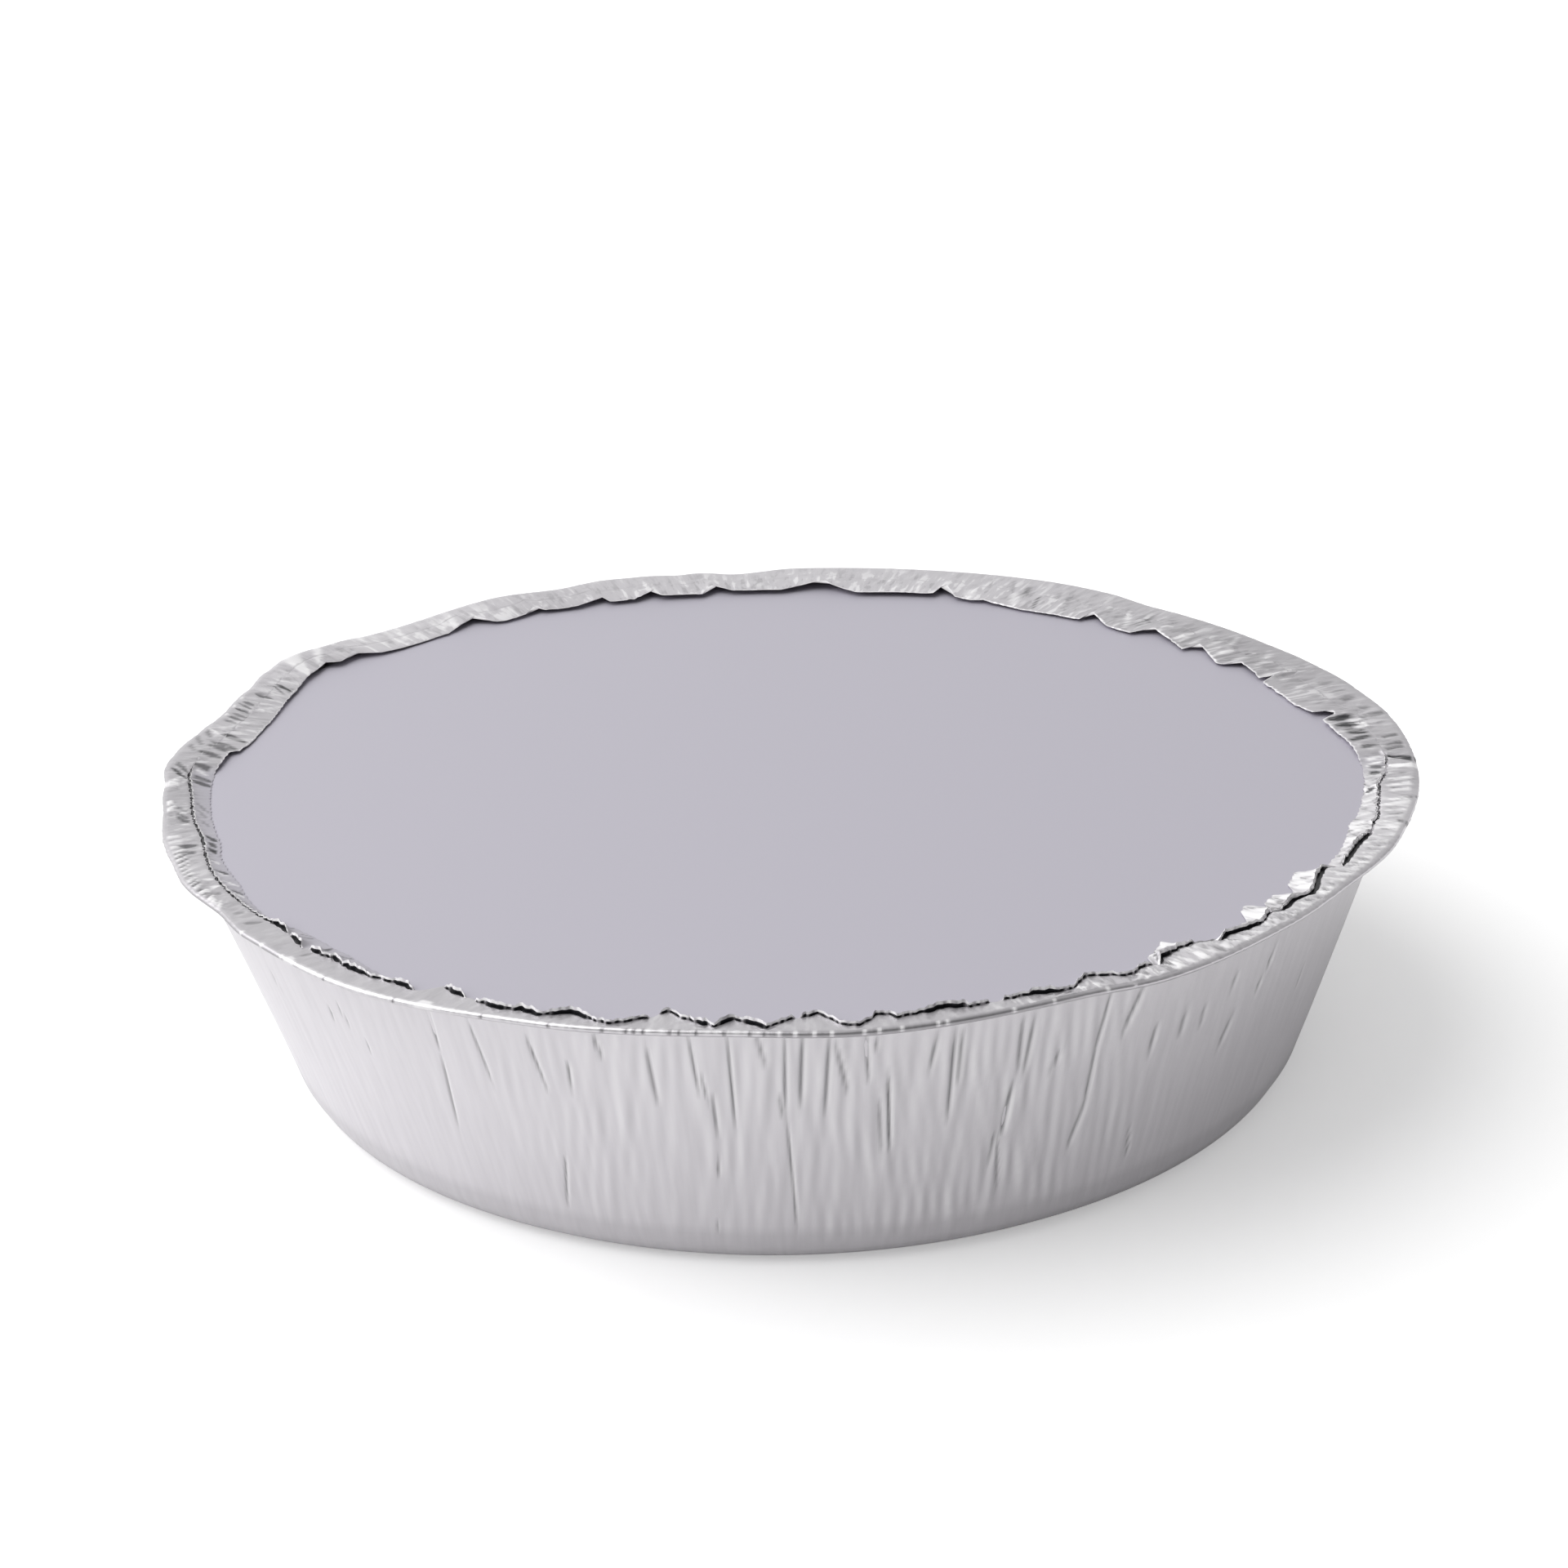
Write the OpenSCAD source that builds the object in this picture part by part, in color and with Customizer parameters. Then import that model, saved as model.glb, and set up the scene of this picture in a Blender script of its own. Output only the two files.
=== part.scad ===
// Round foil pie tin: a pressed foil pan, and a flat board lid held by the pan's rim.
// Millimetres. The origin is the middle of the base, on its underside, with +Z up.
// Bearings are in degrees, counterclockwise from +X seen from above; the front is 270.

/* [Pan] */
// Diameter over the folded rim, where it isn't dented
rim_d = 203; // [180:1:260]
// Height of the underside of the ledge, where the wall ends
ledge_h = 45; // [32:0.5:70]
// Width of the ledge that carries the lid, from the wall to the rim's edge
ledge_w = 4; // [3.5:0.5:8]
// Diameter of the flat base, inside its rounded corner
base_d = 159; // [130:1:165]
// Radius of the corner between the base and the wall
corner_r = 6; // [3:0.5:10]
// Thickness of the foil
foil_t = 0.2; // [0.15:0.05:0.35]

/* [Stiffening ring in the base] */
// Diameter of the ring along its crest
ring_d = 124; // [60:1:125]
// Width of the ring from foot to foot
ring_w = 6; // [4:0.5:10]
// Height of the ring above the base
ring_h = 1; // [0.4:0.1:2]

/* [Rim and lip] */
// Gap between the lid's upper face and the lowest foil of the lip
lip_gap = 0.1; // [0.05:0.05:0.6]
// Height of the fold's crest above the lid's upper face at the front
crest_h = 0.4; // [0.3:0.1:2]
// Extra height of the crest at the back, where the fold is looser
crest_back = 0.7; // [0:0.1:2]
// Distance from the rim's edge in to the fold's crest
crest_in = 0.7; // [0.4:0.1:2]
// Height of the lip's raised free edge above the lid at the back
edge_lift = 0.4; // [0:0.1:2]
// Height of the lip's radial pleats
pleat_h = 0.35; // [0:0.05:0.6]
// Number of pleats round the lip
pleat_n = 64; // [40:1:80]
// Depth of the crease pressed along the lip where it lies flat on the lid
crease_h = 0.25; // [0:0.05:0.4]
// Depth of the uneven scallops in the free edge where it lies flat
scallop_w = 1.2; // [0:0.1:1.8]
// Number of scallops, counted round the whole lip
scallop_n = 56; // [30:1:60]
// How far each notch in the free edge cuts back towards the rim
notch_w = 2.6; // [0:0.1:3.5]
// How far the free edge stands up at each notch
notch_h = 0.5; // [0:0.1:1.5]
// How far the rim has been pushed off the base's centre, along X and Y
rim_shift = [-0.6, 0];

/* [Wall] */
// Depth of the wall's upright wrinkles
wrinkle_h = 0.4; // [0:0.05:0.6]

/* [Lid] */
// Play between the lid's edge and the inside of the rim, where the rim isn't dented
lid_play = 2.55; // [2.3:0.05:3]
// Thickness of the board lid
lid_t = 0.5; // [0.3:0.1:1]

/* [Hidden] */

rim_r = rim_d / 2;
wall_top_r = rim_r - ledge_w;
base_r = base_d / 2;
lid_r = rim_r - foil_t - lid_play;
lid_z = ledge_h + foil_t;
lid_top = lid_z + lid_t;
lip_floor = lid_top + lip_gap + foil_t;
pleat_n_2 = round(pleat_n * 0.6);

// How far the rim's edge stands out of round, as [bearing, mm outwards]
rim_out = [
    [0, 0.5], [5, 0.4], [13, -0.3], [22, -0.9], [30, -1.4], [45, -1.3], [52, 0.2],
    [88, 0], [95, -1], [99, 0.5], [102, -0.6], [106, 0.4], [110, 0.8], [116, -1],
    [123, 0.8], [135, -0.1], [139, 0], [146, 1.8], [152, 2.6], [158, 1.2], [163, 0.2],
    [169, 0.7], [174, 1.6], [178, 1.8], [184, 0.6], [190, -0.3], [200, 0.4], [205, -0.3],
    [214, -0.8], [220, 0.2], [235, 1.6], [250, 0.4], [265, -0.6], [275, 0.4],
    [293, -1.2], [300, 0], [315, -1], [323, -1.3], [335, 0], [350, 0.7]
];
// How far the fold's crest stands above or below its usual height, as [bearing, mm]
rim_lift = [
    [0, 0.1], [12, 0], [28, -0.35], [45, -0.35], [60, 0.3], [88, 0.15], [95, -0.3],
    [105, 0.4], [122, 0.8], [135, 0.3], [147, 1.2], [158, 0.3], [169, -0.5], [190, 0],
    [340, 0]
];
// Width of the folded lip, as [bearing, mm]
lip_w = [
    [0, 10], [12, 12.5], [20, 12.3], [40, 14], [57, 16], [75, 14.5], [90, 13.3],
    [100, 12.8], [110, 12], [120, 10.2], [135, 8.6], [144, 7], [152, 6.8], [165, 10],
    [175, 10.3], [184, 8], [199, 9.3], [210, 8.2], [222, 6.5], [235, 5], [250, 4.5],
    [270, 4.5], [296, 5], [305, 6.5], [315, 8], [325, 7], [345, 8.7]
];
// Bearings of the notches in the lip's free edge
notches = [6.5, 19.5, 25.2, 32.7, 40, 49.4, 69.8, 84.6, 98.6, 105.5, 112, 120, 127.2, 148];
notch_turn = 5;
// Bearings where the loose back part of the lip begins and ends, and the turn over which
// it changes from pressed flat to loose
loose_from = -8;
loose_to = 178;
loose_blend = 22;

// Steps round the rim and the wall; the base has half as many
steps = 180;
base_steps = steps / 2;
wall_steps = 4;

// Angle below the horizontal at which the wall leaves the corner's arc
to_top = [wall_top_r - base_r, ledge_h - corner_r];
wall_turn = acos(corner_r / norm(to_top)) - atan2(to_top[1], to_top[0]);
wall_foot = [base_r + corner_r * cos(wall_turn), corner_r * (1 - sin(wall_turn))];
wall_top = [wall_top_r, ledge_h];

function mix(a, b, s) = a + (b - a) * s;
function ease(s) = let (c = max(0, min(1, s))) c * c * (3 - 2 * c);

// Value at bearing b of a closed list of [bearing, value], eased from entry to entry
function around(list, b, i = 0) =
    let (here = list[i], next = i + 1 < len(list) ? list[i + 1] : list[0] + [360, 0])
    b < next[0] || i + 1 == len(list)
        ? mix(here[1], next[1], ease((b - here[0]) / (next[0] - here[0])))
        : around(list, b, i + 1);

// Share of looseness at bearing b: 1 along the back of the rim, 0 along the front
function loose(b) =
    let (c = b > 270 ? b - 360 : b)
    min(ease((c - loose_from) / loose_blend), ease((loose_to - c) / loose_blend));

// Share of a notch at bearing b, 1 at its bearing and 0 at half its turn away
function notch(b) = max([for (n = notches) ease(1 - abs(b - n) / notch_turn)]);

// Uneven ripple of the lip's pleats at bearing b, between -1 and 1
function pleat(b) = 0.6 * sin(pleat_n * b + 50 * sin(5 * b)) + 0.4 * sin(pleat_n_2 * b);

// Uneven scallops of the free edge at the front, between -1 and 1
function scallop(b) = 0.7 * sin(scallop_n * b + 60 * sin(4 * b)) + 0.3 * sin(13 * b);

// Wrinkle of the wall at bearing b and height share s, between -1 and 1
function wrinkle(b, s) =
    0.45 * sin(47 * b + 60 * sin(3 * b) + 50 * s) + 0.3 * sin(71 * b - 80 * s)
    + 0.25 * sin(19 * b + 30);

// A point of the pan's section: its radius and height on the underside, the step from
// there to the upper side, and the share of rim_shift that it takes
function point(r, z, step, shift = 0) = [r, z, step[0] * foil_t, step[1] * foil_t, shift];

// Points up the corner's arc, each stepping towards the arc's centre
corner_points = [for (s = [0.5, 1]) let (t = mix(-90, -wall_turn, s))
    point(base_r + corner_r * cos(t), corner_r * (1 + sin(t)), [-cos(t), -sin(t)])];

// Points up the wall at bearing b, with its wrinkles fading out at the foot and the top
function wall_points(b) =
    [for (k = [1:wall_steps]) let (s = k / (wall_steps + 1), p = mix(wall_foot, wall_top, s))
        point(p[0] + wrinkle_h * wrinkle(b, s) * sin(180 * s), p[1],
            [-cos(wall_turn), sin(wall_turn)])];

// Points from the ledge round the fold and in over the lid to the lip's free edge
function rim_points(b) =
    let (
        free = loose(b),
        cut = notch(b) * free,
        w = around(lip_w, b),
        edge_r = rim_r + around(rim_out, b),
        lift = max(0, free * crest_back + around(rim_lift, b)),
        crest_z = max(lip_floor, lid_top + crest_h + lift),
        crest_r = edge_r - crest_in,
        free_r = edge_r - w + cut * notch_w + (1 - free) * scallop_w * scallop(b),
        free_z = lip_floor + free * edge_lift + cut * notch_h,
        pressed = (1 - free) * ease((w - 5) / 3)
    )
    concat(
        [point(edge_r - crest_in / 2, ledge_h, [-0.5, 1], 1)],
        [point(edge_r, (crest_z + ledge_h) / 2, [-1, 0], 1)],
        [point(crest_r, crest_z, [0, -1], 1)],
        [for (s = [0.35, 0.52, 0.7]) let (
            z = mix(crest_z, free_z, s),
            up = pleat_h * (0.5 + 0.5 * pleat(b)),
            crease = s == 0.52 ? pressed * (crease_h + up) : 0
        ) point(mix(crest_r, free_r, s), max(lip_floor, z + up - crease), [0, -1], 1)],
        [point(free_r, max(lip_floor, free_z + pleat_h * pleat(b + 2)), [0, -1], 1)]
    );

// The pan's section at bearing b, from the corner to the lip's free edge
function section(b) = concat(
    corner_points,
    wall_points(b),
    [point(wall_top_r, ledge_h, [-1, 1])],
    rim_points(b)
);

// A section's point q in space at bearing b, on the underside or, at side 1, the upper side
function place(q, b, side) =
    let (r = q[0] + side * q[2], z = q[1] + side * q[3])
    [r * cos(b) + q[4] * rim_shift[0], r * sin(b) + q[4] * rim_shift[1], z];

// The pan is one skin underneath and one above, each a stack of rings from the middle of
// the base to the lip's free edge, joined along that edge
module foil_pan() {
    base = [
        point(ring_d / 2 - ring_w / 2, 0, [0, 1]),
        point(ring_d / 2, ring_h, [0, 1]),
        point(ring_d / 2 + ring_w / 2, 0, [0, 1]),
        point(base_r, 0, [0, 1])
    ];
    sections = [for (i = [0:steps - 1]) section(i * 360 / steps)];
    rings = len(sections[0]);
    base_last = len(base) - 1;

    skin = function (side) concat(
        [[0, 0, side * foil_t]],
        [for (q = base) for (i = [0:base_steps - 1]) place(q, i * 360 / base_steps, side)],
        [for (k = [0:rings - 1]) for (i = [0:steps - 1])
            place(sections[i][k], i * 360 / steps, side)]
    );

    at_base = function (k, i) 1 + k * base_steps + i % base_steps;
    at_ring = function (k, i) 1 + len(base) * base_steps + k * steps + i % steps;
    under = concat(
        [for (i = [0:base_steps - 1]) [0, at_base(0, i), at_base(0, i + 1)]],
        [for (k = [0:base_last - 1]) for (i = [0:base_steps - 1]) each [
            [at_base(k, i), at_base(k + 1, i), at_base(k + 1, i + 1)],
            [at_base(k, i), at_base(k + 1, i + 1), at_base(k, i + 1)]
        ]],
        [for (i = [0:base_steps - 1]) each [
            [at_base(base_last, i), at_ring(0, 2 * i), at_ring(0, 2 * i + 1)],
            [at_base(base_last, i), at_ring(0, 2 * i + 1), at_base(base_last, i + 1)],
            [at_base(base_last, i + 1), at_ring(0, 2 * i + 1), at_ring(0, 2 * i + 2)]
        ]],
        [for (k = [0:rings - 2]) for (i = [0:steps - 1]) each [
            [at_ring(k, i), at_ring(k + 1, i), at_ring(k + 1, i + 1)],
            [at_ring(k, i), at_ring(k + 1, i + 1), at_ring(k, i + 1)]
        ]]
    );
    upper = len(skin(0));
    above = [for (f = under) [f[0] + upper, f[2] + upper, f[1] + upper]];
    free_edge = [for (i = [0:steps - 1]) let (
        a = at_ring(rings - 1, i),
        b = at_ring(rings - 1, i + 1)
    ) each [[a, a + upper, b], [b, a + upper, b + upper]]];
    color([0.80, 0.79, 0.81])
        polyhedron(
            points = concat(skin(0), skin(1)),
            faces = concat(under, above, free_edge),
            convexity = 6
        );
}

// The lid is a flat board disc that lies on the ledge, under the lip
module board_lid() {
    color([0.75, 0.74, 0.78])
        translate([rim_shift[0], rim_shift[1], lid_z])
            cylinder(r = lid_r, h = lid_t, $fn = steps);
}

foil_pan();
board_lid();
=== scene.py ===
import math

import bpy
import numpy as np
from mathutils import Matrix, Vector


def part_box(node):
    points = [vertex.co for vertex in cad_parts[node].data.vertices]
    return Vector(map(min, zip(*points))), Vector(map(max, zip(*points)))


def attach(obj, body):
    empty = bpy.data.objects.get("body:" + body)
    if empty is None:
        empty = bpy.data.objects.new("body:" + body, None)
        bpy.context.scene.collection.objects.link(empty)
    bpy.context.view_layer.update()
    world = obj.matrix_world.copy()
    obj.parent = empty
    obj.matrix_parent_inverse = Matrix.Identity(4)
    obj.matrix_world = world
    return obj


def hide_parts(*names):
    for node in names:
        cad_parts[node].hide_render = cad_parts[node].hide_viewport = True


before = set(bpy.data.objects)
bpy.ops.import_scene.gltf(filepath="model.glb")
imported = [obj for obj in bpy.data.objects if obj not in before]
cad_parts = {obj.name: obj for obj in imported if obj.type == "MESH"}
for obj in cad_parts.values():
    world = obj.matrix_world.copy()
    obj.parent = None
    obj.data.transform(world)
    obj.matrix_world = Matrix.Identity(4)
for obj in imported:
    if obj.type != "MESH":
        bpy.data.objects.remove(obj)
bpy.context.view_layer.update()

# Camera. It stands in front of the tin, 24 degrees above the table, and leans a little to one
# side, as the photograph's does. The photograph is cropped off centre, which the shift repeats.
mm = 0.001
camera_distance = 449.6 * mm
camera_rise = math.radians(23.89)
camera_lean = math.radians(-1.71)
camera_aim = Vector((0, 0, 22 * mm))
camera_reach = 50
sensor_side = 36

# The photograph's side, its focal length and how far its middle is off the lens's, in pixels
photo_side = 1920
photo_focus = 3265
photo_centre_off = (11, 127)


def put_in_scene(name, data):
    """Add an object to the scene, and give it back."""
    made = bpy.data.objects.new(name, data)
    bpy.context.scene.collection.objects.link(made)
    return made


camera_lens = bpy.data.cameras.new("camera")
camera_lens.sensor_width = sensor_side
camera_lens.lens = sensor_side * photo_focus / photo_side
camera_lens.shift_x = -photo_centre_off[0] / photo_side
camera_lens.shift_y = photo_centre_off[1] / photo_side
camera_lens.clip_end = camera_reach
camera = put_in_scene("camera", camera_lens)
camera_stand = camera_aim + camera_distance * Vector((0, -math.cos(camera_rise), math.sin(camera_rise)))
camera.matrix_world = (
    Matrix.Translation(camera_stand)
    @ Matrix.Rotation(math.pi / 2 - camera_rise, 4, "X")
    @ Matrix.Rotation(camera_lean, 4, "Z")
)
bpy.context.scene.camera = camera
bpy.context.scene.view_settings.view_transform = "Standard"


# Studio. A white sweep with a soft window of light on the left, so that the tin's shadow falls to
# the right, and a room that is darker on the right and behind the camera, which the foil mirrors.
floor_reach = 12
floor_drop = 0.05 * mm
floor_colour = (0.93, 0.93, 0.93, 1)
floor_glow = 0.32
floor_glow_mirrored = 0.05
window_light = 1.9
window_spread = math.radians(70)
window_place = Vector((-0.66, 0.02, 0.75))

# Light of the room: as the camera sees it, as it fills, and as the foil mirrors it from in front
room_seen = 1.3
room_fill = 0.65
room_front = 0.15
# How much of it falls off to the right, for the fill and in mirrors, and overhead in mirrors
room_lean = 0.75
room_lean_mirrored = 0.5
room_ceiling = 0.45
# Where it changes between front and back, and between wall and ceiling, on a sphere of radius 1
room_front_turn = (-0.7, 0.1)
room_ceiling_turn = (0.5, 0.85)


class Wire:
    """One output of a shader node. Arithmetic on it adds the Math nodes."""

    def __init__(self, tree, socket=None):
        self.tree, self.socket = tree, socket

    def node(self, kind, settings=None, inputs=None, out=0):
        """Add a node: its settings first, then the values or links of its sockets."""
        made = self.tree.nodes.new("ShaderNode" + kind)
        for name, value in (settings or {}).items():
            setattr(made, name, value)
        for name, value in (inputs or {}).items():
            if isinstance(value, Wire):
                self.tree.links.new(value.socket, made.inputs[name])
            else:
                made.inputs[name].default_value = value
        return Wire(self.tree, made.outputs[out] if made.outputs else None)

    def math(self, operation, *values):
        """Add a Math node."""
        return self.node("Math", {"operation": operation}, dict(enumerate(values)))

    def __add__(self, other):
        return self.math("ADD", self, other)

    def __sub__(self, other):
        return self.math("SUBTRACT", self, other)

    def __rsub__(self, other):
        return self.math("SUBTRACT", other, self)

    def __mul__(self, other):
        return self.math("MULTIPLY", self, other)

    __radd__, __rmul__ = __add__, __mul__

    def ease(self, low, high):
        """0 below low, 1 above high, and a soft turn between."""
        return self.node("MapRange", {"interpolation_type": "SMOOTHSTEP"}, {0: self, 1: low, 2: high})

    def blend(self, first, second):
        """The first colour where this is 0, the second where it is 1."""
        return self.node("Mix", {"data_type": "RGBA"}, {0: self, 6: first, 7: second}, out=2)

    def parts(self):
        """The three coordinates of a place or a direction."""
        return [self.node("SeparateXYZ", inputs={0: self}, out=axis) for axis in "XYZ"]


def bare_tree(owner):
    """Clear the nodes of a world or a material, so that its own can be added."""
    owner.use_nodes = True
    owner.node_tree.nodes.clear()
    return Wire(owner.node_tree)


def ray_kinds(tree):
    """1 on rays that come from the camera, from a mirror and through glass, as three wires."""
    kinds = ("Is Camera Ray", "Is Glossy Ray", "Is Transmission Ray")
    return [tree.node("LightPath", out=kind) for kind in kinds]


world = bpy.data.worlds.new("studio")
bpy.context.scene.world = world
world.cycles.sampling_method = "NONE"
room = bare_tree(world)
seen, mirrored, through = ray_kinds(room)
to_right, to_back, to_sky = room.node("TexCoord", out="Generated").parts()
mirror_level = room_front + (1 - room_front) * to_back.ease(*room_front_turn)
mirror_level = mirror_level * (1 - room_lean_mirrored * to_right)
mirror_level = mirror_level * (1 - room_ceiling * to_sky.ease(*room_ceiling_turn))
fill = 1 - (seen + mirrored + through)
fill_level = room_fill * (1 - room_lean * to_right)
room_level = room_seen * (seen + through) + mirrored * mirror_level + fill * fill_level
room.node("OutputWorld", inputs={0: room.node("Background", inputs={"Strength": room_level})})

window = bpy.data.lights.new("window", "SUN")
window.energy = window_light
window.angle = window_spread
window_stand = put_in_scene("window", window)
window_stand.rotation_euler = window_place.to_track_quat("Z", "Y").to_euler()

floor_mesh = bpy.data.meshes.new("floor")
corner_signs = ((-1, -1), (1, -1), (1, 1), (-1, 1))
floor_corners = [(x * floor_reach, y * floor_reach, -floor_drop) for x, y in corner_signs]
floor_mesh.from_pydata(floor_corners, [], [(0, 1, 2, 3)])
floor = put_in_scene("floor", floor_mesh)

floor_paint = bpy.data.materials.new("white_sweep")
sweep = bare_tree(floor_paint)
seen, mirrored, through = ray_kinds(sweep)
matt = sweep.node("BsdfDiffuse", inputs={"Color": floor_colour})
glow_level = floor_glow * (seen + through) + floor_glow_mirrored * mirrored
glow = sweep.node("Emission", inputs={"Strength": glow_level})
sweep.node("OutputMaterial", inputs={0: sweep.node("AddShader", inputs={0: matt, 1: glow})})
floor_mesh.materials.append(floor_paint)


# Foil pan. One sheet of soft aluminium, pressed into a flat base, a rounded corner and a tapered
# wall that wrinkled as it was drawn, with a ledge and a rim that is folded in over the lid by
# hand: loose and notched along the back, crimped down in pleats at the sides and the front.
lid_low, lid_high = (np.array(corner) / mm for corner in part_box("board_lid"))
lid_top = lid_high[2]

# Sizes in mm: the sheet, the base and its stiffening ring, the corner, the wall and the rim, and
# how far the rim stands to the right of the base
foil_t = 0.12
base_r = 79.5
ring_r = 62
ring_w = 6
ring_h = 1
corner_r = 6
wall_mid_r = 90
wall_top_r = 97.5
ledge_h = 45
rim_r = 101.5
rim_shift = -0.6

# In the functions and rings below, b is a bearing in degrees round the pan: 0 on the right, 90 at
# the back, 180 on the left and 270 in front. r is a radius and z a height, in mm, and s the share
# of the way along a stretch, from 0 to 1.
# Columns of points, as (from bearing, to bearing, how many): closer where the camera sees creases.
# One column in so many goes on inside the pan and over its base.
columns = [(20, 66, 160), (66, 150, 168), (150, 200, 264), (200, 330, 816), (330, 380, 296)]
inside_share = 4
b = np.concatenate([np.linspace(start, end, count, endpoint=False) for start, end, count in columns])


def ring(r, z, painted_shade=0, painted_highlight=0, flat=0, creased=0, shift=1):
    """One ring of the pan, as rows with a number for each column: bearing, radius, height, shares of
    its painted shade, painted highlight, pressed flat look and fine creases, and share of the rim's shift."""
    return np.array(np.broadcast_arrays(b, r, z, painted_shade, painted_highlight, flat, creased, shift), float)


def ease(s):
    """0 below 0, 1 above 1, and a soft turn between."""
    s = np.clip(s, 0, 1)
    return s * s * (3 - 2 * s)


def span(b, start, end, turn):
    """1 between two bearings, 0 outside them, with a soft turn of so many degrees at each."""
    off = (b - start) % 360
    width = (end - start) % 360
    return np.maximum(np.minimum(ease(off / turn), ease((width - off) / turn)), 0)


def arc(b, at, r):
    """How far bearings b are past another, in mm round a circle of radius r."""
    return ((b - at + 180) % 360 - 180) * math.pi / 180 * r


def ripples(b, z, low, high, length, seed):
    """Soft upright ripples: a sum of waves, low to high of them round the pan, that lean."""
    draw = np.random.default_rng(seed)
    count = 28
    total = 0
    for _ in range(count):
        waves = int(draw.integers(low, high))
        lean = draw.normal() * 360 / length
        total = total + np.sin(np.radians(waves * b + lean * z + draw.uniform(0, 360)))
    return total / math.sqrt(count)


# The wall's waves: how high the close, the closest and the wide ones stand, in mm
wave_h = 0.1
fine_wave_h = 0.075
wide_wave_h = 0.12
# How much painted shade the wall's foot gets, as a share, and up to which height, in mm
foot_shade = 0.13
foot_shade_h = 8.5
# The wall's creases, as (bearing and height at the top, at the bottom, depth, width), in mm
wall_creases = [
    (214.7, 35, 215.8, 32, 0.10, 0.3), (225, 35, 224.8, 32.5, 0.18, 0.35),
    (226.6, 36.5, 227.5, 32.5, 0.12, 0.3), (228.8, 31, 228.9, 29.3, 0.12, 0.3),
    (238.6, 42, 238.2, 35, 0.25, 0.35), (238.1, 33, 237, 20, 0.2, 0.35),
    (242.5, 41, 242.9, 30.5, 0.16, 0.35), (247.8, 40, 248.4, 31.5, 0.22, 0.4),
    (253.8, 42.5, 254.2, 39, 0.18, 0.4), (251, 37, 250.7, 32, 0.22, 0.4),
    (248.3, 18.5, 247.1, 9, 0.2, 0.35), (258.1, 41, 258.2, 31, 0.16, 0.5),
    (261.7, 43.6, 261.9, 33.4, 0.2, 0.35), (262.3, 36.5, 262.6, 32, 0.14, 0.35),
    (263, 33, 263, 26, 0.2, 0.4), (264.8, 43.7, 264.6, 27.3, 0.24, 0.35), (262.8, 21, 262.6, 18, 0.2, 0.35),
    (262, 9.5, 261.9, 7.6, 0.12, 0.3), (267.1, 43.6, 267.6, 39, 0.14, 0.5),
    (268.5, 33, 268.7, 29, 0.12, 0.4), (269.3, 43.8, 268.9, 29, 0.2, 0.4), (269, 28, 269.4, 8, 0.22, 0.3),
    (270.7, 43.6, 270.2, 31, 0.2, 0.45), (272.8, 43, 272.2, 29, 0.18, 0.45),
    (273.2, 42, 274.2, 33, 0.16, 0.5), (275.7, 43, 275.9, 35, 0.2, 0.35),
    (276.7, 42.6, 276.4, 40.7, 0.14, 0.4), (277.5, 35.5, 277.8, 21.6, 0.28, 0.4),
    (276.8, 31, 277.1, 21, 0.14, 0.45), (281.4, 41.5, 280.9, 35.8, 0.18, 0.45),
    (282.9, 41.5, 282.8, 26.5, 0.22, 0.4), (283.5, 42, 283.4, 32.7, 0.2, 0.45),
    (288.6, 42.3, 288.8, 33, 0.16, 0.5), (289.6, 42, 289.3, 32.3, 0.18, 0.5),
    (288.4, 30.5, 288.1, 21.7, 0.34, 0.45), (287.4, 22.3, 287.2, 15.6, 0.18, 0.4),
    (287.6, 22.3, 288.5, 11, 0.14, 0.4), (292.8, 35.5, 291.8, 32, 0.2, 0.45),
    (296.5, 43.7, 296, 33, 0.2, 0.35), (296, 34, 296.1, 23.7, 0.22, 0.35),
    (296.1, 24, 295.2, 16, 0.18, 0.45), (299.8, 43.4, 298.5, 35.4, 0.2, 0.5),
    (302.2, 34.4, 302.2, 30, 0.2, 0.45), (305.4, 35.6, 305.5, 31, 0.12, 0.6),
    (307.8, 35.3, 308, 31.4, 0.1, 0.5), (311.1, 38.6, 311, 35.7, 0.1, 0.5),
    (312.5, 30.3, 311.8, 24.8, 0.14, 0.6), (316.1, 39.4, 316, 36.2, 0.22, 0.4),
    (315.5, 34.5, 315.3, 33.2, 0.2, 0.4), (302.1, 15.7, 302.9, 10.5, 0.14, 0.4),
    (324.3, 30.4, 324.5, 27.5, 0.1, 0.4),
]


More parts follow.
